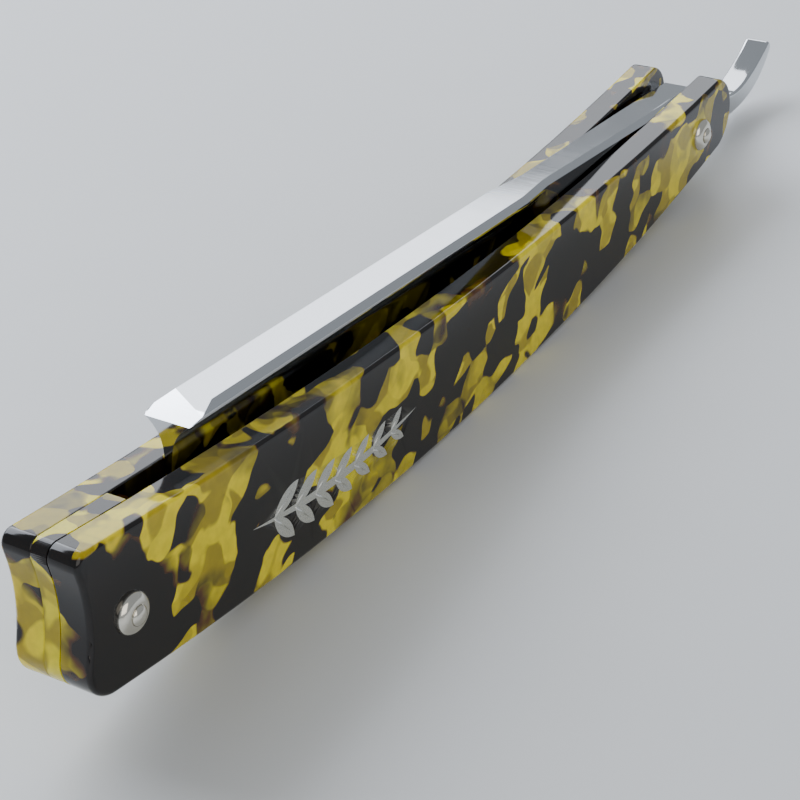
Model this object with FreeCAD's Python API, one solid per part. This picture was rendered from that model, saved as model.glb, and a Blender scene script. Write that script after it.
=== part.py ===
"""Straight razor, closed, standing on the curved belly of its scales.

X runs along the razor, from the wedge end (-X) to the pivot end (+X). The inlaid front
scale faces -Y. Z is up, and the blade's spine is on top. The origin is on the surface that
the razor stands on, under the lowest point of the belly, midway between the two scales.
All sizes are in millimetres.
"""

import FreeCAD, Part
import math
import os
from FreeCAD import Vector

# ---------------------------------------------------------------- driving dimensions
# Where the two pins are.
PIN_SPACING = 133.0            # wedge pin to pivot pin, along X
PIVOT_X = 58.6                 # pivot pin, from the lowest point of the belly
PIVOT_HEIGHT = 5.99            # pivot pin above the lower edge of the scales, beside it
WEDGE_PIN_HEIGHT = 8.16        # wedge pin above the lower edge of the scales, beside it

# Scales (the two handle plates), seen from the side.
BELLY_RADIUS = 420.0           # convex lower edge
SCALE_WIDTH_WEDGE = 17.8       # lower edge to upper edge, at the wedge pin
SCALE_WIDTH_MIDDLE = 16.8      # the same, halfway between the pins
SCALE_WIDTH_PIVOT = 11.6       # the same, at the pivot pin
WEDGE_END_TOP = 6.9            # upper corner of the wedge end, beyond the wedge pin
WEDGE_END_BOTTOM = 8.6         # lower corner of the wedge end, beyond the wedge pin
WEDGE_END_HOLLOW = 1.9         # depth of the hollow in the wedge end
WEDGE_TOP_RADIUS = 1.5         # rounding of its upper corner
WEDGE_BOTTOM_RADIUS = 4.0      # rounding of its lower corner
PIVOT_END = 11.0               # rounded end of the scales, beyond the pivot pin
PIVOT_END_SHOULDER = 7.0       # where that rounding starts, beyond the pivot pin
PIVOT_END_RADIUS = 2.2         # blend from the long edges into it

# Scales, across their thickness.
SCALE_THICKNESS = 3.8
OUTER_EDGE_RADIUS = 0.6        # polished outer edges
INNER_EDGE_RADIUS = 0.25       # broken inner edges

# Wedge (the spacer between the scales at the closed end).
WEDGE_THICKNESS = 2.1          # at the wedge pin
WEDGE_INNER_END = 5.6          # beyond the wedge pin, towards the blade

# Pins, their peened heads and domed collars.
PIN_DIAMETER = 1.6
PIN_CLEARANCE = 0.03           # radial, pin in scale, wedge, collar and washer
PIVOT_RUNNING_CLEARANCE = 0.04 # radial, pivot pin in the tang
HEAD_RADIUS = 1.15
HEAD_HEIGHT = 0.5
HEAD_SEAT_CLEARANCE = 0.02     # head above its collar
COLLAR_RADIUS = 2.3
COLLAR_HEIGHT = 0.95
COLLAR_RIM = 0.25              # straight part of the collar's rim
COLLAR_LAND_RADIUS = 1.3       # flat on top of the collar, under the head
COLLAR_DOME_OUT = 0.12         # fullness of the dome, outwards
COLLAR_DOME_UP = 0.13          # fullness of the dome, upwards
HEAD_DOME_RADIUS_SHARE = 0.72  # a point on the head's dome, as shares of its radius
HEAD_DOME_HEIGHT_SHARE = 0.66  # and of its height

# Thrust washers between the tang and the scales.
THRUST_RADIUS = 3.0
THRUST_THICKNESS = 0.45
THRUST_CLEARANCE = 0.08        # washer to tang, and washer to scale

# Blade, measured from the pivot: U along the spine towards the nose, V towards the spine.
BLADE_TILT_DEG = 6.6           # rise of the spine towards the nose when closed
SPINE_V = 4.4                  # spine above the pivot
NOSE_GAP = 7.8                 # flat end of the blade to the wedge
BLADE_WIDTH = 16.0             # spine to cutting edge (a 5/8 inch blade)
HEEL_U = 47.0                  # back end of the cutting edge
HEEL_RADIUS = 5.0
NOSE_EDGE_RADIUS = 1.6         # corner between the nose and the cutting edge
SPINE_THICKNESS = 6.0          # over both bevels
SPINE_BEVEL_WIDTH = 0.75       # bevel along each side of the spine
SPINE_BEVEL_DROP = 0.7
SPINE_SIDE_HEIGHT = 0.35       # upright side left below the bevel
NOSE_FACET_LENGTH = 4.6        # sloped facet on top of the nose
NOSE_FACET_DROP = 1.2
NECK_THICKNESS = 1.1           # where the spine's deep hollow meets the thin blade
NECK_DEPTH = 4.6
BELLY_OF_HOLLOW_THICKNESS = 0.5
BELLY_OF_HOLLOW_DEPTH = 10.5
EDGE_SHOULDER_THICKNESS = 0.28
EDGE_SHOULDER_DEPTH = 15.2
EDGE_THICKNESS = 0.04
GRIND_RUNOUT_U = 40.0          # the hollow grind fades out into the tang here

# Tang and tail.
TANG_THICKNESS = 5.4           # at the pivot
SHANK_CLEARANCE = 0.33         # shank to each scale, at the end of the grind
TANG_TAPER_U = 9.0             # the tang's taper towards the shank starts here
TANG_BOTTOM_V = -4.2           # underside of the tang at the pivot
SHANK_BOTTOM_V = -4.6          # underside of the shank, behind the heel
SHANK_U = 36.0
HEEL_CURVE_U = 6.2             # the shank's underside bows here, past SHANK_U
HEEL_CURVE_DROP = 0.75
HEEL_STEP_U = 2.0              # foot of the heel's shoulder, behind the heel
HEEL_STEP_DROP = 2.4
NECK_HOLLOW_SHARE = 0.24       # how full the deep hollow is under the spine
BELLY_HOLLOW_FULLNESS = 0.05
SECTION_OVERRUN = 1.0          # sections run this far past the side view they are cut to
TAIL_THICKNESS = 4.0
TAIL_START_U = -7.0            # the tail begins this far past the pivot
TAIL_EDGE_RADIUS = 0.5
TAIL_TIP_OUT = 0.8             # rounding of the tail's tip
TAIL_TIP_UP = 0.5
TAIL_TOP = ((-18.0, 0.2), (-27.0, -1.6), (-34.0, 0.4), (-39.0, 3.2))
TAIL_BOTTOM = ((-40.0, 1.4), (-35.5, -2.6), (-27.0, -4.9), (-16.0, -4.6))

# Inlaid ornament in the front scale: a sprig with paired leaves.
INLAY_DEPTH = 0.35
INLAY_START = 20.0             # butt of the sprig, from the wedge pin towards the pivot
INLAY_LENGTH = 33.0
INLAY_HEIGHT_SHARE = 0.46      # height of its stem within the scale's width
STEM_WIDTH = 1.1
STEM_SAG = 1.3                 # bow of the stem
LEAF_PAIRS = 7
LEAF_LENGTH = 5.4
LEAF_TIP_LENGTH = 3.4          # length of the last pair
LEAF_WIDTH = 1.9
LEAF_ANGLE_DEG = 38.0
LEAF_BELLY_SHARE = 0.45        # widest point of a leaf along its length


def belly_z(x):
    """Height of the convex lower edge of the scales at x."""
    return BELLY_RADIUS - math.sqrt(BELLY_RADIUS ** 2 - x ** 2)


# ---------------------------------------------------------------- derived places
WEDGE_PIN_X = PIVOT_X - PIN_SPACING
MIDDLE_X = 0.5 * (PIVOT_X + WEDGE_PIN_X)
PIVOT_Z = belly_z(PIVOT_X) + PIVOT_HEIGHT
WEDGE_PIN_Z = belly_z(WEDGE_PIN_X) + WEDGE_PIN_HEIGHT
NOSE_U = PIN_SPACING - WEDGE_INNER_END - NOSE_GAP
GAP_AT_WEDGE = WEDGE_THICKNESS
GAP_AT_PIVOT = TANG_THICKNESS + 2.0 * (THRUST_THICKNESS + 2.0 * THRUST_CLEARANCE)
SPLAY_DEG = math.degrees(math.atan(0.5 * (GAP_AT_PIVOT - GAP_AT_WEDGE) / PIN_SPACING))
GAP_AT_SHANK = GAP_AT_PIVOT - (GAP_AT_PIVOT - GAP_AT_WEDGE) * GRIND_RUNOUT_U / PIN_SPACING
SHANK_THICKNESS = GAP_AT_SHANK - 2.0 * SHANK_CLEARANCE
REACH = 200.0                  # longer than any piece, for cutting tools

FRONT = -1.0                   # side of the razor, as a sign on Y
BACK = 1.0


# ---------------------------------------------------------------- small helpers
def arc(start, middle, end):
    return Part.Arc(start, middle, end).toShape()


def line(start, end):
    return Part.LineSegment(start, end).toShape()


def plane_point(x, z):
    """A point of a side view, on the plane y = 0."""
    return Vector(x, 0.0, z)


def polygon_face(points):
    return Part.Face(Part.makePolygon(list(points) + [points[0]]))


def prism(edges, y_low, y_high):
    """Closed outline in the plane y = 0, made into a solid from y_low to y_high."""
    face = Part.Face(Part.Wire(edges))
    face.translate(Vector(0.0, y_low, 0.0))
    return face.extrude(Vector(0.0, y_high - y_low, 0.0))


def cross_cylinder(x, z, radius):
    """A long cylinder along Y, for a pin or its hole."""
    return Part.makeCylinder(radius, REACH, Vector(x, -0.5 * REACH, z), Vector(0.0, 1.0, 0.0))


def edges_along_y(shape, x, z, reach):
    """Edges parallel to Y whose place in the side view is within reach of (x, z)."""
    found = []
    for edge in shape.Edges:
        first, last = edge.Vertexes[0].Point, edge.Vertexes[-1].Point
        upright = math.hypot(first.x - last.x, first.z - last.z) < 1e-6
        if upright and math.hypot(first.x - x, first.z - z) < reach:
            found.append(edge)
    return found


def edges_on_plane_y(shape, y):
    """Edges that lie wholly on the plane at this y."""
    found = []
    for edge in shape.Edges:
        box = edge.BoundBox
        if abs(box.YMin - y) < 1e-4 and abs(box.YMax - y) < 1e-4:
            found.append(edge)
    return found


def save(shape, node):
    """Write one node, made of one or more solids, to its own STEP file."""
    if not shape.isValid():
        raise ValueError(node + " is not a valid shape")
    shape.exportStep(os.path.join("parts", node + ".step"))
    if shape.Volume <= 0.0:
        raise ValueError(node + " is inside out")
    print(node, "solids", len(shape.Solids), "volume", round(shape.Volume, 2))


# ---------------------------------------------------------------- the scales' side view
def back_edge():
    """The circle of the concave upper edge, from the three widths."""
    low = plane_point(WEDGE_PIN_X, belly_z(WEDGE_PIN_X) + SCALE_WIDTH_WEDGE)
    mid = plane_point(MIDDLE_X, belly_z(MIDDLE_X) + SCALE_WIDTH_MIDDLE)
    high = plane_point(PIVOT_X, belly_z(PIVOT_X) + SCALE_WIDTH_PIVOT)
    return arc(low, mid, high).Curve


def back_z(x):
    """Height of the concave upper edge at x."""
    circle = back_edge()
    return circle.Center.z - math.sqrt(circle.Radius ** 2 - (x - circle.Center.x) ** 2)


def scale_corners():
    """The four corners of the scales' side view, before they are rounded."""
    wedge_top_x = WEDGE_PIN_X - WEDGE_END_TOP
    wedge_bottom_x = WEDGE_PIN_X - WEDGE_END_BOTTOM
    shoulder_x = PIVOT_X + PIVOT_END_SHOULDER
    return {
        "wedge_top": plane_point(wedge_top_x, back_z(wedge_top_x)),
        "wedge_bottom": plane_point(wedge_bottom_x, belly_z(wedge_bottom_x)),
        "pivot_top": plane_point(shoulder_x, back_z(shoulder_x)),
        "pivot_bottom": plane_point(shoulder_x, belly_z(shoulder_x)),
    }


def scale_outline():
    """Edges of the scales' side view."""
    corner = scale_corners()
    belly_mid = plane_point(0.0, belly_z(0.0))
    back_mid = plane_point(MIDDLE_X, back_z(MIDDLE_X))
    pivot_tip = plane_point(PIVOT_X + PIVOT_END,
                            0.5 * (corner["pivot_top"].z + corner["pivot_bottom"].z))
    hollow_mid = (corner["wedge_top"] + corner["wedge_bottom"]) * 0.5
    hollow_mid.x += WEDGE_END_HOLLOW
    return [
        arc(corner["wedge_bottom"], belly_mid, corner["pivot_bottom"]),
        arc(corner["pivot_bottom"], pivot_tip, corner["pivot_top"]),
        arc(corner["pivot_top"], back_mid, corner["wedge_top"]),
        arc(corner["wedge_top"], hollow_mid, corner["wedge_bottom"]),
    ]


def rounded_slab(y_low, y_high):
    """The scales' side view as a slab, with its four corners rounded."""
    slab = prism(scale_outline(), y_low, y_high)
    corner = scale_corners()
    for name, radius in (("wedge_top", WEDGE_TOP_RADIUS), ("wedge_bottom", WEDGE_BOTTOM_RADIUS),
                         ("pivot_top", PIVOT_END_RADIUS), ("pivot_bottom", PIVOT_END_RADIUS)):
        point = corner[name]
        slab = slab.makeFillet(radius, edges_along_y(slab, point.x, point.z, 0.01))
    return slab


def splay(shape, side):
    """Turn a plate made against y = 0 to its place on one side of the razor."""
    centre = Vector(WEDGE_PIN_X, 0.0, 0.0)
    shape.rotate(centre, Vector(0.0, 0.0, 1.0), side * SPLAY_DEG)
    shape.translate(Vector(0.0, side * 0.5 * GAP_AT_WEDGE, 0.0))
    return shape


def inner_face_y(x):
    """Half of the gap between the scales at x."""
    return 0.5 * GAP_AT_WEDGE + (x - WEDGE_PIN_X) * math.tan(math.radians(SPLAY_DEG))


# ---------------------------------------------------------------- inlay
def stem_point(along):
    """Middle of the stem at a share of its length, in the side view."""
    x = WEDGE_PIN_X + INLAY_START + along * INLAY_LENGTH
    low, high = belly_z(x), back_z(x)
    bow = STEM_SAG * (1.0 - (2.0 * along - 1.0) ** 2)
    return plane_point(x, low + INLAY_HEIGHT_SHARE * (high - low) - bow)


def leaf(root, angle, length, y_low, y_high):
    """A pointed leaf between two arcs, from its root in the given direction."""
    along = Vector(math.cos(angle), 0.0, math.sin(angle))
    across = Vector(-math.sin(angle), 0.0, math.cos(angle))
    tip = root + along * length
    belly = root + along * (LEAF_BELLY_SHARE * length)
    half = 0.5 * LEAF_WIDTH * length / LEAF_LENGTH
    edges = [arc(root, belly + across * half, tip), arc(tip, belly - across * half, root)]
    return prism(edges, y_low, y_high)


def sprig(y_low, y_high):
    """The whole ornament as one flat piece."""
    start, middle, end = stem_point(0.0), stem_point(0.5), stem_point(1.0)
    lift = Vector(0.0, 0.0, 0.5 * STEM_WIDTH)
    stem = prism([arc(start, middle + lift, end), arc(end, middle - lift, start)], y_low, y_high)
    pieces = []
    for pair in range(LEAF_PAIRS):
        along = (pair + 1.0) / (LEAF_PAIRS + 1.5)
        root = stem_point(along)
        ahead = stem_point(along + 0.02)
        heading = math.atan2(ahead.z - root.z, ahead.x - root.x)
        share = pair / (LEAF_PAIRS - 1.0)
        length = LEAF_LENGTH + (LEAF_TIP_LENGTH - LEAF_LENGTH) * share
        for side in (-1.0, 1.0):
            angle = heading + side * math.radians(LEAF_ANGLE_DEG)
            pieces.append(leaf(root, angle, length, y_low, y_high))
    return stem.multiFuse(pieces).removeSplitter()


# ---------------------------------------------------------------- handle pieces
def scale(side):
    """One handle plate, with its edges polished and its two pin holes."""
    outer = side * SCALE_THICKNESS
    plate = rounded_slab(min(0.0, outer), max(0.0, outer))
    plate = plate.makeFillet(OUTER_EDGE_RADIUS, edges_on_plane_y(plate, outer))
    plate = plate.makeFillet(INNER_EDGE_RADIUS, edges_on_plane_y(plate, 0.0))
    plate = splay(plate, side)
    for x, z in ((WEDGE_PIN_X, WEDGE_PIN_Z), (PIVOT_X, PIVOT_Z)):
        plate = plate.cut(cross_cylinder(x, z, 0.5 * PIN_DIAMETER + PIN_CLEARANCE))
    return plate


def scale_inlay():
    return splay(sprig(-SCALE_THICKNESS, -SCALE_THICKNESS + INLAY_DEPTH), FRONT)


def wedge():
    """The tapered spacer, flush with the wedge end of the scales."""
    slab = rounded_slab(-0.5 * REACH, 0.5 * REACH)
    x_low = WEDGE_PIN_X - WEDGE_END_BOTTOM - 1.0
    x_high = WEDGE_PIN_X + WEDGE_INNER_END
    half_low, half_high = inner_face_y(x_low), inner_face_y(x_high)
    plan = polygon_face([Vector(x_low, -half_low, -1.0), Vector(x_high, -half_high, -1.0),
                         Vector(x_high, half_high, -1.0), Vector(x_low, half_low, -1.0)])
    spacer = slab.common(plan.extrude(Vector(0.0, 0.0, REACH)))
    return spacer.cut(cross_cylinder(WEDGE_PIN_X, WEDGE_PIN_Z, 0.5 * PIN_DIAMETER + PIN_CLEARANCE))


def outer_face_y(x):
    """Distance of a scale's outer face from the middle plane, at x."""
    return inner_face_y(x) + SCALE_THICKNESS / math.cos(math.radians(SPLAY_DEG))


def revolved_about_y(points_and_arcs):
    """Turn a half section, drawn as (radius, height) edges in X and Y, about the Y axis."""
    face = Part.Face(Part.Wire(points_and_arcs))
    body = face.revolve(Vector(0.0, 0.0, 0.0), Vector(0.0, 1.0, 0.0), 360.0)
    if body.Volume < 0.0:
        body.reverse()
    return body


def section_point(radius, height):
    return Vector(radius, height, 0.0)


def collar(x, z, side):
    """A domed collar that sits flat on the outer face of a scale."""
    rim = section_point(COLLAR_RADIUS, COLLAR_RIM)
    land = section_point(COLLAR_LAND_RADIUS, COLLAR_HEIGHT)
    bulge = section_point(0.5 * (COLLAR_RADIUS + COLLAR_LAND_RADIUS) + COLLAR_DOME_OUT,
                          0.5 * (COLLAR_RIM + COLLAR_HEIGHT) + COLLAR_DOME_UP)
    foot = section_point(COLLAR_RADIUS, 0.0)
    axis_low, axis_high = section_point(0.0, 0.0), section_point(0.0, COLLAR_HEIGHT)
    body = revolved_about_y([line(axis_low, foot), line(foot, rim), arc(rim, bulge, land),
                             line(land, axis_high), line(axis_high, axis_low)])
    if side < 0.0:
        body.rotate(Vector(0.0, 0.0, 0.0), Vector(0.0, 0.0, 1.0), 180.0)
    body.rotate(Vector(0.0, 0.0, 0.0), Vector(0.0, 0.0, 1.0), side * SPLAY_DEG)
    body.translate(Vector(x, side * outer_face_y(x), z))
    return body.cut(cross_cylinder(x, z, 0.5 * PIN_DIAMETER + PIN_CLEARANCE))


def pin(x, z):
    """A pin through the whole handle, peened to a small dome over each collar."""
    seat = outer_face_y(x) + COLLAR_HEIGHT + HEAD_SEAT_CLEARANCE
    crown = seat + HEAD_HEIGHT
    waist = 0.5 * PIN_DIAMETER
    profile = [line(section_point(0.0, -crown), section_point(0.0, crown))]
    for end in (1.0, -1.0):
        rim = section_point(HEAD_RADIUS, end * seat)
        bulge = section_point(HEAD_DOME_RADIUS_SHARE * HEAD_RADIUS,
                              end * (seat + HEAD_DOME_HEIGHT_SHARE * HEAD_HEIGHT))
        neck = section_point(waist, end * seat)
        profile.append(arc(section_point(0.0, end * crown), bulge, rim))
        profile.append(line(rim, neck))
    profile.append(line(section_point(waist, seat), section_point(waist, -seat)))
    body = revolved_about_y(Part.__sortEdges__(profile))
    body.translate(Vector(x, 0.0, z))
    return body


def thrust_washer(side):
    """A thin washer beside the tang, on the pivot pin."""
    near = 0.5 * TANG_THICKNESS + THRUST_CLEARANCE
    centre = Vector(PIVOT_X, side * near, PIVOT_Z)
    disc = Part.makeCylinder(THRUST_RADIUS, THRUST_THICKNESS, centre, Vector(0.0, side, 0.0))
    return disc.cut(cross_cylinder(PIVOT_X, PIVOT_Z, 0.5 * PIN_DIAMETER + PIN_CLEARANCE))


# ---------------------------------------------------------------- blade
def blade_point(u, v):
    """A point of the blade's own side view: nose towards -X, pivot at the origin."""
    return Vector(-u, 0.0, v)


def tang_and_blade_side(y_half):
    """Side view of the blade, shank and tang up to the start of the tail, as a slab."""
    top_nose = blade_point(NOSE_U, SPINE_V - NOSE_FACET_DROP)
    facet_end = blade_point(NOSE_U - NOSE_FACET_LENGTH, SPINE_V)
    top_tang = blade_point(TAIL_START_U, SPINE_V)
    low_tang = blade_point(TAIL_START_U, TANG_BOTTOM_V)
    pivot_low = blade_point(0.0, TANG_BOTTOM_V)
    shank_low = blade_point(SHANK_U, SHANK_BOTTOM_V)
    heel_high = blade_point(HEEL_U - HEEL_STEP_U, SHANK_BOTTOM_V - HEEL_STEP_DROP)
    edge_v = SPINE_V - BLADE_WIDTH
    heel = blade_point(HEEL_U, edge_v)
    nose_low = blade_point(NOSE_U, edge_v)
    outline = [
        line(nose_low, top_nose), line(top_nose, facet_end), line(facet_end, top_tang),
        line(top_tang, low_tang), line(low_tang, pivot_low), line(pivot_low, shank_low),
        arc(shank_low, blade_point(SHANK_U + HEEL_CURVE_U, SHANK_BOTTOM_V - HEEL_CURVE_DROP),
            heel_high),
        line(heel_high, heel), line(heel, nose_low),
    ]
    slab = prism(outline, -y_half, y_half)
    slab = slab.makeFillet(HEEL_RADIUS, edges_along_y(slab, heel.x, heel.z, 0.01))
    return slab.makeFillet(NOSE_EDGE_RADIUS, edges_along_y(slab, nose_low.x, nose_low.z, 0.01))


def section_at(u, half_points, bulges):
    """Closed cross-section at u from half widths and depths below the spine.

    A bulge is the half width halfway down the stretch that it belongs to, and None makes
    that stretch straight.
    """
    def place(half, depth):
        return Vector(-u, half, SPINE_V - depth)

    edges = []
    for sign in (1.0, -1.0):
        points = half_points if sign > 0 else list(reversed(half_points))
        stretch_bulges = bulges if sign > 0 else list(reversed(bulges))
        for (start, end), bulge in zip(zip(points[:-1], points[1:]), stretch_bulges):
            first, last = place(sign * start[0], start[1]), place(sign * end[0], end[1])
            if bulge is None:
                edges.append(line(first, last))
            else:
                middle = place(sign * bulge, 0.5 * (start[1] + end[1]))
                edges.append(arc(first, middle, last))
        if sign > 0:
            edges.append(line(place(points[-1][0], points[-1][1]),
                              place(-points[-1][0], points[-1][1])))
    top = half_points[0]
    edges.append(line(place(-top[0], top[1]), place(top[0], top[1])))
    return Part.Wire(edges)


def ground_section(u):
    """Cross-section of the hollow-ground blade."""
    half = 0.5 * SPINE_THICKNESS
    side_depth = SPINE_BEVEL_DROP + SPINE_SIDE_HEIGHT
    points = [
        (half - SPINE_BEVEL_WIDTH, 0.0),
        (half, SPINE_BEVEL_DROP),
        (half, side_depth),
        (0.5 * NECK_THICKNESS, NECK_DEPTH),
        (0.5 * BELLY_OF_HOLLOW_THICKNESS, BELLY_OF_HOLLOW_DEPTH),
        (0.5 * EDGE_SHOULDER_THICKNESS, EDGE_SHOULDER_DEPTH),
        (0.5 * EDGE_THICKNESS, BLADE_WIDTH + SECTION_OVERRUN),
    ]
    neck_bulge = 0.5 * NECK_THICKNESS + NECK_HOLLOW_SHARE * (half - 0.5 * NECK_THICKNESS)
    belly_bulge = 0.5 * BELLY_OF_HOLLOW_THICKNESS + BELLY_HOLLOW_FULLNESS
    return section_at(u, points, [None, None, neck_bulge, belly_bulge, None, None])


def full_section(u, thickness):
    """Cross-section of the shank or tang, with as many sides as the ground blade has."""
    half = 0.5 * thickness
    side_depth = SPINE_BEVEL_DROP + SPINE_SIDE_HEIGHT
    points = [
        (half - SPINE_BEVEL_WIDTH, 0.0),
        (half, SPINE_BEVEL_DROP),
        (half, side_depth),
        (half, NECK_DEPTH),
        (half, BELLY_OF_HOLLOW_DEPTH),
        (half, EDGE_SHOULDER_DEPTH),
        (half, BLADE_WIDTH + SECTION_OVERRUN),
    ]
    return section_at(u, points, [None] * 6)


def blade_thickness_body():
    """Everything that the side view is cut from: ground blade, run-out, shank and tang."""
    beyond_nose = NOSE_U + SECTION_OVERRUN
    ground = Part.Face(ground_section(beyond_nose)).extrude(Vector(beyond_nose - HEEL_U, 0.0, 0.0))
    shank_end = full_section(GRIND_RUNOUT_U, SHANK_THICKNESS)
    tang_end = full_section(TANG_TAPER_U, TANG_THICKNESS)
    runout = Part.makeLoft([ground_section(HEEL_U), shank_end], True, True)
    shank = Part.makeLoft([shank_end, tang_end], True, True)
    plain_length = TANG_TAPER_U - TAIL_START_U + SECTION_OVERRUN
    plain = Part.Face(tang_end).extrude(Vector(plain_length, 0.0, 0.0))
    return ground.fuse([runout, shank, plain]).removeSplitter()


def tail():
    """The thinner tail past the pivot, which curls up at its tip."""
    root_top = blade_point(TAIL_START_U, SPINE_V)
    root_low = blade_point(TAIL_START_U, TANG_BOTTOM_V)
    upper = Part.BSplineCurve()
    upper.interpolate([root_top] + [blade_point(u, v) for u, v in TAIL_TOP])
    lower = Part.BSplineCurve()
    lower.interpolate([blade_point(u, v) for u, v in TAIL_BOTTOM] + [root_low])
    tip_top, tip_low = blade_point(*TAIL_TOP[-1]), blade_point(*TAIL_BOTTOM[0])
    tip_mid = (tip_top + tip_low) * 0.5 + Vector(TAIL_TIP_OUT, 0.0, TAIL_TIP_UP)
    outline = [upper.toShape(), arc(tip_top, tip_mid, tip_low), lower.toShape(),
               line(root_low, root_top)]
    half = 0.5 * TAIL_THICKNESS
    body = prism(outline, -half, half)
    rims = [edge for edge in edges_on_plane_y(body, half) + edges_on_plane_y(body, -half)
            if edge.BoundBox.XMax > -TAIL_START_U + 0.5]
    return body.makeFillet(TAIL_EDGE_RADIUS, rims)


def blade():
    """The blade with its tang and tail, in its closed place."""
    body = tang_and_blade_side(TANG_THICKNESS).common(blade_thickness_body())
    body = body.fuse(tail()).removeSplitter()
    body = body.cut(cross_cylinder(0.0, 0.0, 0.5 * PIN_DIAMETER + PIVOT_RUNNING_CLEARANCE))
    body.rotate(Vector(0.0, 0.0, 0.0), Vector(0.0, 1.0, 0.0), BLADE_TILT_DEG)
    body.translate(Vector(PIVOT_X, 0.0, PIVOT_Z))
    return body


# ---------------------------------------------------------------- build
def main():
    os.makedirs("parts", exist_ok=True)
    inlay = scale_inlay()
    save(scale(FRONT).cut(inlay), "front_scale")
    save(scale(BACK), "back_scale")
    save(inlay, "scale_inlay")
    save(wedge(), "wedge")
    save(blade(), "blade")
    places = (("wedge", WEDGE_PIN_X, WEDGE_PIN_Z), ("pivot", PIVOT_X, PIVOT_Z))
    for name, x, z in places:
        save(pin(x, z), name + "_pin")
        save(collar(x, z, FRONT), "front_" + name + "_collar")
        save(collar(x, z, BACK), "back_" + name + "_collar")
    save(thrust_washer(FRONT), "front_thrust_washer")
    save(thrust_washer(BACK), "back_thrust_washer")


main()
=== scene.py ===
import math

import bmesh
import bpy
from mathutils import Matrix, Vector
from mathutils.bvhtree import BVHTree


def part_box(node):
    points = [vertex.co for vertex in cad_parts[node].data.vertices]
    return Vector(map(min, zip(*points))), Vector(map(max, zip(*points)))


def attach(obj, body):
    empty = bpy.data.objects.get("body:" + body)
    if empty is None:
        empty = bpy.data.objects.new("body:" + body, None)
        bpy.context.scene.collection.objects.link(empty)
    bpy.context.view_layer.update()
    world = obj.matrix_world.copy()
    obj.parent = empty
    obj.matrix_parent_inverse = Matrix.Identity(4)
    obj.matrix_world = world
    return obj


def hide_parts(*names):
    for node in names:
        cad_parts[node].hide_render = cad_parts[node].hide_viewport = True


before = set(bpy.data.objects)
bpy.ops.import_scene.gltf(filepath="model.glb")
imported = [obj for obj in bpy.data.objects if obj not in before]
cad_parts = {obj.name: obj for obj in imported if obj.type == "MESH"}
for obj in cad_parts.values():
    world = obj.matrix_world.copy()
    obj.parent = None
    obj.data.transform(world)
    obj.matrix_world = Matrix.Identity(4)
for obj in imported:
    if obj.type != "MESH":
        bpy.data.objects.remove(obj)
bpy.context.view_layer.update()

bl_info = {
    "name": "Straight Razor Looks",
    "version": (1, 0, 0),
    "blender": (4, 5, 0),
    "location": "3D View > Sidebar > Razor",
    "description": "Finishes for a folding straight razor with tortoise-pattern resin scales",
    "category": "Object",
}

MM = 0.001


# ---------------------------------------------------------------- colour and node helpers
def linear(hex_colour):
    """An sRGB hex colour as linear red, green and blue."""
    values = [int(hex_colour[i:i + 2], 16) / 255.0 for i in (1, 3, 5)]
    return tuple(v / 12.92 if v <= 0.04045 else ((v + 0.055) / 1.055) ** 2.4 for v in values)


def rgba(colour):
    return (colour[0], colour[1], colour[2], 1.0)


def add(tree, kind, inputs=None, **settings):
    """Add a node, set its settings, and give each input a constant or a link."""
    node = tree.nodes.new(kind)
    for name, value in settings.items():
        setattr(node, name, value)
    for key, value in (inputs or {}).items():
        socket = node.inputs[key]
        if isinstance(value, bpy.types.NodeSocket):
            tree.links.new(value, socket)
        else:
            socket.default_value = value
    return node


def new_material(name):
    """An empty node material with its output."""
    material = bpy.data.materials.new(name)
    material.use_nodes = True
    material.node_tree.nodes.clear()
    return material, material.node_tree


def finish_surface(tree, shader):
    add(tree, "ShaderNodeOutputMaterial", {"Surface": shader.outputs[0]})


# ---------------------------------------------------------------- sizes and colours
class RazorResin(bpy.types.PropertyGroup):
    patch_length: bpy.props.FloatProperty(
        name="Patch Length", description="Length of a brown patch, in millimetres",
        default=5.0, min=1.0, max=40.0)
    patch_width: bpy.props.FloatProperty(
        name="Patch Width", description="Width of a brown patch, in millimetres",
        default=3.8, min=1.0, max=40.0)
    patch_lean: bpy.props.FloatProperty(
        name="Patch Lean", description="Lean of the patches in the side view",
        default=math.radians(35.0), subtype="ANGLE", unit="ROTATION")
    edge_wander: bpy.props.FloatProperty(
        name="Edge Wander", description="How far a patch's edge strays, in patch sizes",
        default=0.9, min=0.0, max=3.0)
    drift_share: bpy.props.FloatProperty(
        name="Drift Share", description="Share of soft drifting colour among the blocky chips",
        default=0.35, min=0.0, max=1.0, subtype="FACTOR")
    glow: bpy.props.FloatProperty(
        name="Glow", description="How much light passes into the resin and out again",
        default=0.45, min=0.0, max=1.0, subtype="FACTOR")
    glow_depth: bpy.props.FloatProperty(
        name="Glow Depth", description="How far light spreads inside the resin",
        default=2.5 * MM, subtype="DISTANCE", unit="LENGTH")
    dark: bpy.props.FloatVectorProperty(
        name="Dark", description="Near-black brown of the patches", subtype="COLOR",
        size=3, default=linear("#0e0603"), min=0.0, max=1.0)
    amber: bpy.props.FloatVectorProperty(
        name="Amber", description="Amber at the soft edge of a patch", subtype="COLOR",
        size=3, default=linear("#5a3408"), min=0.0, max=1.0)
    olive: bpy.props.FloatVectorProperty(
        name="Olive", description="Olive between the patches", subtype="COLOR",
        size=3, default=linear("#8c8000"), min=0.0, max=1.0)
    yellow: bpy.props.FloatVectorProperty(
        name="Yellow", description="Clear yellow of the resin", subtype="COLOR",
        size=3, default=linear("#f2de00"), min=0.0, max=1.0)


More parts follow.
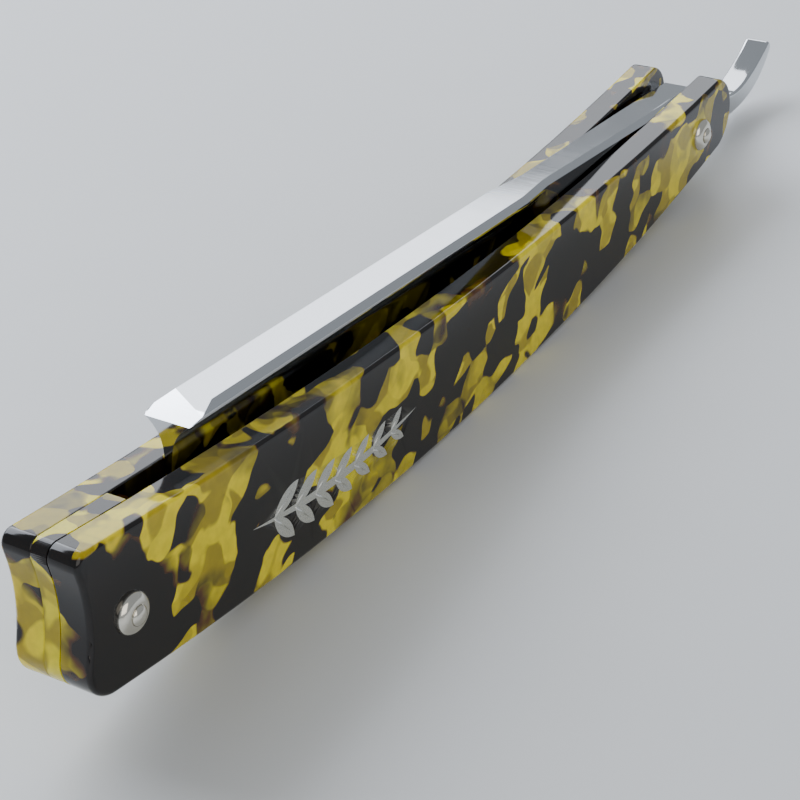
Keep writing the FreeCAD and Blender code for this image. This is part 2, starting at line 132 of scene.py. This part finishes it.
class RazorMetals(bpy.types.PropertyGroup):
    steel: bpy.props.FloatVectorProperty(
        name="Steel", description="Mirror-polished carbon steel", subtype="COLOR",
        size=3, default=linear("#d2d5d8"), min=0.0, max=1.0)
    grind_pitch: bpy.props.FloatProperty(
        name="Grind Pitch", description="Spacing of the polishing lines, in millimetres",
        default=0.3, min=0.02, max=5.0)
    collar: bpy.props.FloatVectorProperty(
        name="Collars", description="Nickel silver of pins and collars", subtype="COLOR",
        size=3, default=linear("#dcd8cc"), min=0.0, max=1.0)
    inlay: bpy.props.FloatVectorProperty(
        name="Inlay", description="Satin metal of the inlaid sprig", subtype="COLOR",
        size=3, default=linear("#e2e3de"), min=0.0, max=1.0)
    washer: bpy.props.FloatVectorProperty(
        name="Washers", description="Brass of the thrust washers", subtype="COLOR",
        size=3, default=linear("#c79a4a"), min=0.0, max=1.0)


class RazorInlay(bpy.types.PropertyGroup):
    start: bpy.props.FloatProperty(
        name="Sprig Start", description="Butt of the sprig, from the wedge pin towards the pivot",
        default=20.0 * MM, subtype="DISTANCE", unit="LENGTH")
    length: bpy.props.FloatProperty(
        name="Sprig Length", description="Length of the stem",
        default=33.0 * MM, subtype="DISTANCE", unit="LENGTH")
    height_share: bpy.props.FloatProperty(
        name="Height Share", description="Height of the stem within the scale's width",
        default=0.46, min=0.0, max=1.0, subtype="FACTOR")
    stem_bow: bpy.props.FloatProperty(
        name="Stem Bow", description="Sag of the stem at its middle",
        default=1.3 * MM, subtype="DISTANCE", unit="LENGTH")
    leaf_pairs: bpy.props.IntProperty(
        name="Leaf Pairs", description="Pairs of leaves on the stem", default=7, min=2, max=20)
    leaf_length: bpy.props.FloatProperty(
        name="Leaf Length", description="Length of the first pair of leaves",
        default=5.4 * MM, subtype="DISTANCE", unit="LENGTH")
    tip_leaf_length: bpy.props.FloatProperty(
        name="Tip Leaf Length", description="Length of the last pair of leaves",
        default=3.4 * MM, subtype="DISTANCE", unit="LENGTH")
    leaf_angle: bpy.props.FloatProperty(
        name="Leaf Angle", description="Angle between a leaf and the stem",
        default=math.radians(38.0), subtype="ANGLE", unit="ROTATION")
    belly_radius: bpy.props.FloatProperty(
        name="Belly Radius", description="Radius of the scales' belly",
        default=420.0 * MM, subtype="DISTANCE", unit="LENGTH")
    scale_widths: bpy.props.FloatVectorProperty(
        name="Scale Widths", description="Width of a scale at the wedge pin, middle and pivot",
        size=3, default=(17.8 * MM, 16.8 * MM, 11.6 * MM), subtype="XYZ", unit="LENGTH")
    rib_width: bpy.props.FloatProperty(
        name="Rib Width", description="Width of the raised rib on a leaf",
        default=0.36 * MM, subtype="DISTANCE", unit="LENGTH")
    rib_height_share: bpy.props.FloatProperty(
        name="Rib Height Share", description="Thickness of a rib as a share of its width",
        default=0.4, min=0.05, max=1.0, subtype="FACTOR")
    rib_share: bpy.props.FloatProperty(
        name="Rib Share", description="Share of a leaf's length that its rib covers",
        default=0.72, min=0.1, max=1.0, subtype="FACTOR")


class RazorStage(bpy.types.PropertyGroup):
    floor_size: bpy.props.FloatProperty(
        name="Floor Size", description="Side of the floor", default=4.0,
        subtype="DISTANCE", unit="LENGTH")
    floor: bpy.props.FloatVectorProperty(
        name="Floor", description="Pale floor", subtype="COLOR",
        size=3, default=linear("#d9dbdc"), min=0.0, max=1.0)
    key_power: bpy.props.FloatProperty(
        name="Key Power", description="Power of the window-like light behind", default=8.0,
        unit="POWER")
    back_power: bpy.props.FloatProperty(
        name="Back Power", description="Power of the panel that the blade mirrors", default=2.8,
        unit="POWER")
    fill_power: bpy.props.FloatProperty(
        name="Fill Power", description="Power of the light near the camera", default=3.2,
        unit="POWER")
    azimuth: bpy.props.FloatProperty(
        name="Azimuth", description="Camera direction round the razor",
        default=math.radians(-57.8), subtype="ANGLE", unit="ROTATION")
    elevation: bpy.props.FloatProperty(
        name="Elevation", description="Camera direction above the floor",
        default=math.radians(32.3), subtype="ANGLE", unit="ROTATION")
    roll: bpy.props.FloatProperty(
        name="Roll", description="Camera roll",
        default=math.radians(-3.0), subtype="ANGLE", unit="ROTATION")
    place: bpy.props.FloatVectorProperty(
        name="Camera Place", description="Where the camera stands", size=3,
        default=(-0.1896, -0.1094, 0.1344), subtype="TRANSLATION", unit="LENGTH")
    lens: bpy.props.FloatProperty(
        name="Lens", description="Focal length in millimetres on a 36 mm sensor",
        default=89.7, min=10.0, max=400.0)


# ---------------------------------------------------------------- materials
def patch_space(tree, place, resin, shift):
    """Coordinates in which a patch is about one unit across, plain and with straying edges."""
    leaned = add(tree, "ShaderNodeMapping", {
        "Vector": place, "Rotation": (0.0, resin.patch_lean, 0.0)})
    sized = add(tree, "ShaderNodeMapping", {
        "Vector": leaned.outputs[0], "Location": shift,
        "Scale": (1.0 / (resin.patch_length * MM), 1.0 / (resin.patch_width * MM),
                  1.0 / (resin.patch_width * MM))})
    wander = add(tree, "ShaderNodeTexNoise", {
        "Vector": sized.outputs[0], "Scale": 1.1, "Detail": 0.6, "Roughness": 0.4})
    offset = add(tree, "ShaderNodeVectorMath", {
        0: wander.outputs["Color"], "Scale": resin.edge_wander}, operation="SCALE")
    strayed = add(tree, "ShaderNodeVectorMath", {
        0: sized.outputs[0], 1: offset.outputs[0]}, operation="ADD")
    return sized.outputs[0], strayed.outputs[0]


def chip_pattern(tree, sized, strayed, drift_share):
    """Blocky patches, because the sheet is cast from broken chips, with some soft drift."""
    chips = add(tree, "ShaderNodeTexVoronoi", {
        "Vector": strayed, "Scale": 1.0, "Smoothness": 0.22, "Randomness": 1.0},
        feature="SMOOTH_F1")
    chip = add(tree, "ShaderNodeSeparateColor", {"Color": chips.outputs["Color"]})
    soft = add(tree, "ShaderNodeTexNoise", {
        "Vector": sized, "Scale": 0.9, "Detail": 2.0, "Roughness": 0.5})
    mixed = add(tree, "ShaderNodeMix", {
        0: drift_share, 2: chip.outputs[0], 3: soft.outputs["Fac"]}, data_type="FLOAT")
    return mixed.outputs[0]


def with_clouds(tree, place, value, clouds):
    """Lighten or darken the pattern round some places, fading out to each cloud's radius."""
    for centre, radius, strength in clouds:
        away = add(tree, "ShaderNodeVectorMath", {
            0: place, 1: tuple(c * MM for c in centre)}, operation="DISTANCE")
        fade = add(tree, "ShaderNodeMapRange", {
            "Value": away.outputs["Value"], "From Min": 0.0, "From Max": radius * MM,
            "To Min": strength, "To Max": 0.0}, interpolation_type="SMOOTHSTEP")
        value = add(tree, "ShaderNodeMath", {
            0: value, 1: fade.outputs[0]}, operation="ADD").outputs[0]
    return value


def pigment_colour(tree, value, resin):
    """Near-black patches that pass through amber and olive into clear yellow."""
    ramp = add(tree, "ShaderNodeValToRGB", {"Fac": value})
    stops = ((0.0, resin.dark), (0.485, resin.dark), (0.515, resin.amber), (0.55, resin.olive),
             (0.65, resin.yellow))
    while len(ramp.color_ramp.elements) < len(stops):
        ramp.color_ramp.elements.new(0.5)
    for element, (position, colour) in zip(ramp.color_ramp.elements, stops):
        element.position = position
        element.color = rgba(colour)
    return ramp.outputs["Color"]


def over_sunk_chips(tree, colour, strayed):
    """Darken the colour where chips deeper in the sheet show through it."""
    sunk = add(tree, "ShaderNodeVectorMath", {
        0: strayed, 1: (4.3, 7.7, 2.9)}, operation="ADD")
    chips = add(tree, "ShaderNodeTexVoronoi", {
        "Vector": sunk.outputs[0], "Scale": 1.3, "Smoothness": 0.35, "Randomness": 1.0},
        feature="SMOOTH_F1")
    chip = add(tree, "ShaderNodeSeparateColor", {"Color": chips.outputs["Color"]})
    depth = add(tree, "ShaderNodeMapRange", {
        "Value": chip.outputs[1], "From Min": 0.3, "From Max": 0.6})
    tint = add(tree, "ShaderNodeMix", {
        0: depth.outputs[0], 6: (0.46, 0.43, 0.20, 1.0), 7: (1.0, 1.0, 1.0, 1.0)},
        data_type="RGBA")
    layered = add(tree, "ShaderNodeMix", {
        0: 1.0, 6: colour, 7: tint.outputs[2]}, data_type="RGBA", blend_type="MULTIPLY")
    return layered.outputs[2]


def tortoise_resin(name, resin, shift, clouds):
    """Cast acrylic in a tortoise pattern, buffed to a high gloss.

    Brown pigment hangs in a clear yellow resin, so patches have soft amber edges and the yellow
    glows where light enters it. Clouds are (place, radius, strength), with place and radius in
    millimetres, and they darken where the strength is below zero.
    """
    material, tree = new_material(name)
    place = add(tree, "ShaderNodeTexCoord").outputs["Object"]
    sized, strayed = patch_space(tree, place, resin, shift)
    value = chip_pattern(tree, sized, strayed, resin.drift_share)
    value = with_clouds(tree, place, value, clouds)
    colour = over_sunk_chips(tree, pigment_colour(tree, value, resin), strayed)
    # wisps of pigment, a millimetre or so across
    wisps = add(tree, "ShaderNodeTexNoise", {
        "Vector": place, "Scale": 650.0, "Detail": 2.0, "Roughness": 0.6})
    wisp_fade = add(tree, "ShaderNodeMapRange", {
        "Value": wisps.outputs["Fac"], "From Min": 0.35, "From Max": 0.65,
        "To Min": 0.85, "To Max": 1.0})
    tinted = add(tree, "ShaderNodeVectorMath", {
        0: colour, "Scale": wisp_fade.outputs[0]}, operation="SCALE")
    # hand buffing leaves a faint waviness, several millimetres across
    waves = add(tree, "ShaderNodeTexNoise", {"Vector": place, "Scale": 160.0, "Detail": 1.0})
    bump = add(tree, "ShaderNodeBump", {
        "Height": waves.outputs["Fac"], "Strength": 0.12, "Distance": 0.15 * MM})
    haze = add(tree, "ShaderNodeMapRange", {
        "Value": wisps.outputs["Fac"], "To Min": 0.06, "To Max": 0.14})
    shader = add(tree, "ShaderNodeBsdfPrincipled", {
        "Base Color": tinted.outputs[0], "Roughness": haze.outputs[0], "IOR": 1.49,
        "Normal": bump.outputs[0], "Subsurface Weight": resin.glow,
        "Subsurface Radius": (1.0, 0.75, 0.15), "Subsurface Scale": resin.glow_depth})
    finish_surface(tree, shader)
    return material


def lined_metal(name, colour, pitch, roughness, depth):
    """Metal with fine parallel polishing lines, which run across the razor's length."""
    material, tree = new_material(name)
    place = add(tree, "ShaderNodeTexCoord").outputs["Object"]
    stretched = add(tree, "ShaderNodeMapping", {
        "Vector": place, "Scale": (1.0 / (pitch * MM), 1.0 / (14.0 * MM), 1.0 / (14.0 * MM))})
    lines = add(tree, "ShaderNodeTexNoise", {
        "Vector": stretched.outputs[0], "Scale": 1.0, "Detail": 2.0, "Roughness": 0.6})
    blotches = add(tree, "ShaderNodeTexNoise", {"Vector": place, "Scale": 110.0, "Detail": 3.0})
    both = add(tree, "ShaderNodeMath", {
        0: lines.outputs["Fac"], 1: blotches.outputs["Fac"]}, operation="MULTIPLY")
    rough = add(tree, "ShaderNodeMapRange", {
        "Value": both.outputs[0], "From Min": 0.1, "From Max": 0.45,
        "To Min": roughness * 0.7, "To Max": roughness * 1.6})
    bump = add(tree, "ShaderNodeBump", {
        "Height": lines.outputs["Fac"], "Strength": 0.35, "Distance": depth * MM})
    shader = add(tree, "ShaderNodeBsdfPrincipled", {
        "Base Color": rgba(colour), "Metallic": 1.0, "Roughness": rough.outputs[0],
        "Normal": bump.outputs[0]})
    finish_surface(tree, shader)
    return material


def grained_metal(name, colour, grain, roughness, depth):
    """Metal with an even fine grain, as left by tumbling, blasting or a light hammer."""
    material, tree = new_material(name)
    place = add(tree, "ShaderNodeTexCoord").outputs["Object"]
    texture = add(tree, "ShaderNodeTexNoise", {
        "Vector": place, "Scale": 1.0 / (grain * MM), "Detail": 3.0, "Roughness": 0.6})
    rough = add(tree, "ShaderNodeMapRange", {
        "Value": texture.outputs["Fac"], "From Min": 0.3, "From Max": 0.7,
        "To Min": roughness * 0.75, "To Max": roughness * 1.35})
    bump = add(tree, "ShaderNodeBump", {
        "Height": texture.outputs["Fac"], "Strength": 0.3, "Distance": depth * MM})
    shader = add(tree, "ShaderNodeBsdfPrincipled", {
        "Base Color": rgba(colour), "Metallic": 1.0, "Roughness": rough.outputs[0],
        "Normal": bump.outputs[0]})
    finish_surface(tree, shader)
    return material


def painted_floor(colour):
    """Matt painted board, with the faint mottle of a roller."""
    material, tree = new_material("matt_painted_board")
    place = add(tree, "ShaderNodeTexCoord").outputs["Object"]
    mottle = add(tree, "ShaderNodeTexNoise", {"Vector": place, "Scale": 60.0, "Detail": 3.0})
    bump = add(tree, "ShaderNodeBump", {
        "Height": mottle.outputs["Fac"], "Strength": 0.04, "Distance": 0.1 * MM})
    rough = add(tree, "ShaderNodeMapRange", {
        "Value": mottle.outputs["Fac"], "To Min": 0.42, "To Max": 0.55})
    shader = add(tree, "ShaderNodeBsdfPrincipled", {
        "Base Color": rgba(colour), "Roughness": rough.outputs[0], "Normal": bump.outputs[0]})
    finish_surface(tree, shader)
    return material


# ---------------------------------------------------------------- pieces
def smooth_copy(node, name, sharp_angle):
    """A merged copy of a CAD node, shaded smooth except across its real edges."""
    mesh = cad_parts[node].data.copy()
    mesh.name = name
    mesh.materials.clear()
    work = bmesh.new()
    work.from_mesh(mesh)
    bmesh.ops.remove_doubles(work, verts=work.verts, dist=0.0005 * MM)
    work.to_mesh(mesh)
    work.free()
    mesh.shade_smooth()
    mesh.set_sharp_from_angle(angle=math.radians(sharp_angle))
    piece = bpy.data.objects.new(name, mesh)
    bpy.context.scene.collection.objects.link(piece)
    weighted = piece.modifiers.new("Face Weighted Normals", "WEIGHTED_NORMAL")
    weighted.mode = "FACE_AREA"
    weighted.keep_sharp = True
    return piece


def pin_centre(node):
    """X and Z of a pin's axis."""
    low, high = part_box(node)
    return (low.x + high.x) / 2, (low.z + high.z) / 2


def dress(node, name, material, body, sharp_angle=28.0):
    """Show a finished copy of a CAD node in its place."""
    piece = smooth_copy(node, name, sharp_angle)
    piece.data.materials.append(material)
    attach(piece, body)
    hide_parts(node)
    return piece


class RAZOR_OT_scales(bpy.types.Operator):
    """The two polished resin scales and the wedge between them"""
    bl_idname = "razor.scales"
    bl_label = "Scales and Wedge"

    def execute(self, context):
        resin = context.scene.razor_resin
        pin_x, pin_z = (c / MM for c in pin_centre("wedge_pin"))
        front_y, back_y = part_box("front_scale")[0].y / MM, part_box("back_scale")[1].y / MM
        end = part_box("front_scale")[0].x / MM
        # the front scale is dark round its wedge pin, with clear yellow just past it
        front_clouds = (
            ((pin_x - 3.0, front_y, pin_z - 1.0), 12.0, -0.60),
            ((pin_x + 13.0, front_y, pin_z + 1.0), 9.0, 0.42),
        )
        # the back scale's end face is clear yellow, with a dark band across its middle
        back_clouds = (
            ((end, back_y - 2.0, pin_z), 11.0, 0.75),
            ((end, back_y - 2.0, pin_z - 1.0), 3.4, -1.0),
        )
        middle_clouds = (((end, 0.0, pin_z), 12.0, 0.55),)
        front = tortoise_resin("cast_resin_front", resin, (0.0, 0.0, 0.0), front_clouds)
        back = tortoise_resin("cast_resin_back", resin, (3.7, 8.2, 1.9), back_clouds)
        middle = tortoise_resin("cast_resin_wedge", resin, (9.1, 2.4, 5.3), middle_clouds)
        dress("front_scale", "front_scale_polished", front, "handle")
        dress("back_scale", "back_scale_polished", back, "handle")
        dress("wedge", "wedge_polished", middle, "handle")
        return {"FINISHED"}


class RAZOR_OT_blade(bpy.types.Operator):
    """The hollow-ground blade with its tang and tail"""
    bl_idname = "razor.blade"
    bl_label = "Blade"

    def execute(self, context):
        metals = context.scene.razor_metals
        steel = lined_metal("mirror_polished_steel", metals.steel, metals.grind_pitch, 0.07, 0.004)
        dress("blade", "blade_polished", steel, "blade", 20.0)
        return {"FINISHED"}


class RAZOR_OT_fittings(bpy.types.Operator):
    """Pins, domed collars and thrust washers"""
    bl_idname = "razor.fittings"
    bl_label = "Pins, Collars and Washers"

    def execute(self, context):
        metals = context.scene.razor_metals
        nickel = grained_metal("tumbled_nickel_silver", metals.collar, 0.35, 0.13, 0.01)
        brass = grained_metal("turned_brass", metals.washer, 0.2, 0.3, 0.008)
        for node in ("wedge_pin", "pivot_pin", "front_wedge_collar", "back_wedge_collar",
                     "front_pivot_collar", "back_pivot_collar"):
            dress(node, node + "_polished", nickel, "handle")
        for node in ("front_thrust_washer", "back_thrust_washer"):
            dress(node, node + "_turned", brass, "handle")
        return {"FINISHED"}


def rib_tree():
    """Geometry Nodes: a tapered rib on each point, turned by its angle."""
    tree = bpy.data.node_groups.new("leaf_ribs", "GeometryNodeTree")
    face = tree.interface
    face.new_socket("Geometry", in_out="INPUT", socket_type="NodeSocketGeometry")
    face.new_socket("Rib Share", in_out="INPUT", socket_type="NodeSocketFloat")
    face.new_socket("Rib Width", in_out="INPUT", socket_type="NodeSocketFloat")
    face.new_socket("Rib Height Share", in_out="INPUT", socket_type="NodeSocketFloat")
    face.new_socket("Seed", in_out="INPUT", socket_type="NodeSocketInt")
    face.new_socket("Material", in_out="INPUT", socket_type="NodeSocketMaterial")
    face.new_socket("Geometry", in_out="OUTPUT", socket_type="NodeSocketGeometry")
    given = add(tree, "NodeGroupInput")
    turn = add(tree, "GeometryNodeInputNamedAttribute", {"Name": "turn"}, data_type="FLOAT")
    length = add(tree, "GeometryNodeInputNamedAttribute", {"Name": "leaf_length"},
                 data_type="FLOAT")
    waver = add(tree, "FunctionNodeRandomValue", {
        "Min": -0.03, "Max": 0.03, "Seed": given.outputs["Seed"]}, data_type="FLOAT")
    angle = add(tree, "ShaderNodeMath", {
        0: turn.outputs["Attribute"], 1: waver.outputs[1]}, operation="ADD")
    # a unit cone stands along Z, so a quarter turn about Y lays it along X
    laid = add(tree, "ShaderNodeMath", {0: math.pi / 2, 1: angle.outputs[0]},
               operation="SUBTRACT")
    euler = add(tree, "ShaderNodeCombineXYZ", {"Y": laid.outputs[0]})
    long = add(tree, "ShaderNodeMath", {
        0: length.outputs["Attribute"], 1: given.outputs["Rib Share"]}, operation="MULTIPLY")
    thin = add(tree, "ShaderNodeMath", {
        0: given.outputs["Rib Width"], 1: given.outputs["Rib Height Share"]},
        operation="MULTIPLY")
    size = add(tree, "ShaderNodeCombineXYZ", {
        "X": given.outputs["Rib Width"], "Y": thin.outputs[0], "Z": long.outputs[0]})
    cone = add(tree, "GeometryNodeMeshCone", {
        "Vertices": 8, "Radius Top": 0.08, "Radius Bottom": 0.5, "Depth": 1.0})
    placed = add(tree, "GeometryNodeInstanceOnPoints", {
        "Points": given.outputs["Geometry"], "Instance": cone.outputs["Mesh"],
        "Rotation": euler.outputs[0], "Scale": size.outputs[0]})
    real = add(tree, "GeometryNodeRealizeInstances", {"Geometry": placed.outputs[0]})
    coated = add(tree, "GeometryNodeSetMaterial", {
        "Geometry": real.outputs[0], "Material": given.outputs["Material"]})
    add(tree, "NodeGroupOutput", {"Geometry": coated.outputs[0]})
    return tree


def scale_width(x, spots):
    """Width of a scale at x: the parabola through its (x, width) spots."""
    total = 0.0
    for i, (spot, width) in enumerate(spots):
        share = 1.0
        for j, (other, _) in enumerate(spots):
            if i != j:
                share *= (x - other) / (spot - other)
        total += share * width
    return total


def leaf_roots(sprig):
    """Root, direction and length of each leaf in the side view.

    The pairs of leaves are evenly spread on a bowed stem and shorten towards the tip.
    """
    wedge_x, pivot_x = pin_centre("wedge_pin")[0], pin_centre("pivot_pin")[0]
    spots = tuple(zip((wedge_x, 0.5 * (wedge_x + pivot_x), pivot_x), sprig.scale_widths))

    def stem(along):
        x = wedge_x + sprig.start + along * sprig.length
        belly = sprig.belly_radius - math.sqrt(sprig.belly_radius ** 2 - x ** 2)
        bow = sprig.stem_bow * (1.0 - (2.0 * along - 1.0) ** 2)
        return x, belly + sprig.height_share * scale_width(x, spots) - bow

    leaves = []
    for pair in range(sprig.leaf_pairs):
        along = (pair + 1.0) / (sprig.leaf_pairs + 1.5)
        x, z = stem(along)
        ahead = stem(along + 0.02)
        heading = math.atan2(ahead[1] - z, ahead[0] - x)
        shortened = pair / (sprig.leaf_pairs - 1.0)
        size = sprig.leaf_length + (sprig.tip_leaf_length - sprig.leaf_length) * shortened
        for side in (-1.0, 1.0):
            leaves.append((x, z, heading + side * sprig.leaf_angle, size))
    return leaves


def front_face(mesh, x, z):
    """Y of a mesh's front surface at a place in the side view."""
    tree = BVHTree.FromPolygons([v.co for v in mesh.vertices],
                                [tuple(p.vertices) for p in mesh.polygons])
    return tree.ray_cast(Vector((x, -0.05, z)), Vector((0.0, 1.0, 0.0)))[0].y


class RAZOR_OT_inlay(bpy.types.Operator):
    """The inlaid sprig and the raised rib along each of its leaves"""
    bl_idname = "razor.inlay"
    bl_label = "Inlay"

    def execute(self, context):
        metals, sprig = context.scene.razor_metals, context.scene.razor_inlay
        satin = grained_metal("satin_inlay_metal", metals.inlay, 0.12, 0.27, 0.01)
        plate = dress("scale_inlay", "inlay_satin", satin, "handle")
        leaves = leaf_roots(sprig)
        points = bpy.data.meshes.new("leaf_points")
        points.from_pydata([(x, 0.0, z) for x, z, _, _ in leaves], [], [])
        turn = points.attributes.new("turn", "FLOAT", "POINT")
        long = points.attributes.new("leaf_length", "FLOAT", "POINT")
        for index, (_, _, angle, size) in enumerate(leaves):
            turn.data[index].value = angle
            long.data[index].value = size
        seedling = bpy.data.objects.new("leaf_points", points)
        context.scene.collection.objects.link(seedling)
        tree = rib_tree()
        grow = seedling.modifiers.new("Leaf Ribs", "NODES")
        grow.node_group = tree
        wanted = {"Rib Share": sprig.rib_share, "Rib Width": sprig.rib_width,
                  "Rib Height Share": sprig.rib_height_share, "Seed": 7, "Material": satin}
        for item in tree.interface.items_tree:
            if item.in_out == "INPUT" and item.name in wanted:
                grow[item.identifier] = wanted[item.name]
        context.view_layer.update()
        evaluated = seedling.evaluated_get(context.evaluated_depsgraph_get())
        mesh = bpy.data.meshes.new_from_object(evaluated)
        bpy.data.objects.remove(seedling)
        if not mesh.polygons:
            raise RuntimeError("the leaf ribs came out empty")
        # the ribs are laid out flat, then set on the plate's face, which leans with the scale
        (near_x, near_z), (far_x, far_z) = leaves[0][:2], leaves[-1][:2]
        near_y = front_face(plate.data, near_x, near_z)
        lean = (front_face(plate.data, far_x, far_z) - near_y) / (far_x - near_x)
        for vertex in mesh.vertices:
            vertex.co.y += near_y + lean * (vertex.co.x - near_x)
        ribs = bpy.data.objects.new("inlay_leaf_ribs", mesh)
        context.scene.collection.objects.link(ribs)
        mesh.shade_smooth()
        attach(ribs, "handle")
        return {"FINISHED"}


# ---------------------------------------------------------------- stage
LIT_PLACE = (0.0, 0.0, 0.01)
LIGHTS = (
    ("window", (0.12, 0.62, 0.50), (0.7, 0.5), "key_power", "#eef4ff"),
    ("back_panel", (0.62, 0.40, 0.46), (0.6, 0.5), "back_power", "#f4f8ff"),
    ("fill", (-0.55, -0.60, 0.55), (0.8, 0.8), "fill_power", "#fff8ee"),
)


def area_light(name, place, size, power, colour):
    """A soft rectangular light that faces the middle of the razor."""
    light = bpy.data.lights.new(name, "AREA")
    light.shape = "RECTANGLE"
    light.size, light.size_y = size
    light.energy = power
    light.color = linear(colour)
    lamp = bpy.data.objects.new(name, light)
    lamp.location = place
    lamp.rotation_mode = "QUATERNION"
    lamp.rotation_quaternion = (Vector(LIT_PLACE) - Vector(place)).to_track_quat("-Z", "Y")
    bpy.context.scene.collection.objects.link(lamp)
    return lamp


class RAZOR_OT_stage(bpy.types.Operator):
    """Pale floor, soft lights and the camera"""
    bl_idname = "razor.stage"
    bl_label = "Stage"

    def execute(self, context):
        stage = context.scene.razor_stage
        half = stage.floor_size / 2
        mesh = bpy.data.meshes.new("floor")
        mesh.from_pydata([(-half, -half, 0), (half, -half, 0), (half, half, 0), (-half, half, 0)],
                         [], [(0, 1, 2, 3)])
        mesh.materials.append(painted_floor(stage.floor))
        floor = bpy.data.objects.new("floor", mesh)
        context.scene.collection.objects.link(floor)
        for name, place, size, power, colour in LIGHTS:
            area_light(name, place, size, getattr(stage, power), colour)
        world = bpy.data.worlds.new("soft_room")
        world.use_nodes = True
        world.node_tree.nodes.clear()
        sky = add(world.node_tree, "ShaderNodeBackground", {
            "Color": rgba(linear("#dfe5ec")), "Strength": 0.5})
        add(world.node_tree, "ShaderNodeOutputWorld", {"Surface": sky.outputs[0]})
        context.scene.world = world
        a, e, r = stage.azimuth, stage.elevation, stage.roll
        back = Vector((math.sin(a) * math.cos(e), -math.cos(a) * math.cos(e), math.sin(e)))
        right = Vector((math.cos(a), math.sin(a), 0.0))
        up = back.cross(right)
        across = right * math.cos(r) + up * math.sin(r)
        upward = up * math.cos(r) - right * math.sin(r)
        turn = Matrix((across, upward, back)).transposed()
        data = bpy.data.cameras.new("camera")
        data.sensor_width = 36.0
        data.lens = stage.lens
        data.clip_start = 0.005
        camera = bpy.data.objects.new("camera", data)
        camera.matrix_world = Matrix.Translation(Vector(stage.place)) @ turn.to_4x4()
        context.scene.collection.objects.link(camera)
        context.scene.camera = camera
        return {"FINISHED"}


# ---------------------------------------------------------------- add-on
STEPS = ("scales", "blade", "fittings", "inlay", "stage")


class RAZOR_PT_panel(bpy.types.Panel):
    """Lists the razor's pieces"""
    bl_idname = "RAZOR_PT_panel"
    bl_label = "Straight Razor"
    bl_space_type = "VIEW_3D"
    bl_region_type = "UI"
    bl_category = "Razor"

    def draw(self, context):
        for step in STEPS:
            self.layout.operator("razor." + step)


CLASSES = (RazorResin, RazorMetals, RazorInlay, RazorStage, RAZOR_OT_scales, RAZOR_OT_blade,
           RAZOR_OT_fittings, RAZOR_OT_inlay, RAZOR_OT_stage, RAZOR_PT_panel)


def register():
    for item in CLASSES:
        bpy.utils.register_class(item)
    bpy.types.Scene.razor_resin = bpy.props.PointerProperty(type=RazorResin)
    bpy.types.Scene.razor_metals = bpy.props.PointerProperty(type=RazorMetals)
    bpy.types.Scene.razor_inlay = bpy.props.PointerProperty(type=RazorInlay)
    bpy.types.Scene.razor_stage = bpy.props.PointerProperty(type=RazorStage)


def unregister():
    del bpy.types.Scene.razor_stage
    del bpy.types.Scene.razor_inlay
    del bpy.types.Scene.razor_metals
    del bpy.types.Scene.razor_resin
    for item in reversed(CLASSES):
        bpy.utils.unregister_class(item)


def main():
    register()
    for step in STEPS:
        getattr(bpy.ops.razor, step)()


if __name__ == "__main__":
    main()
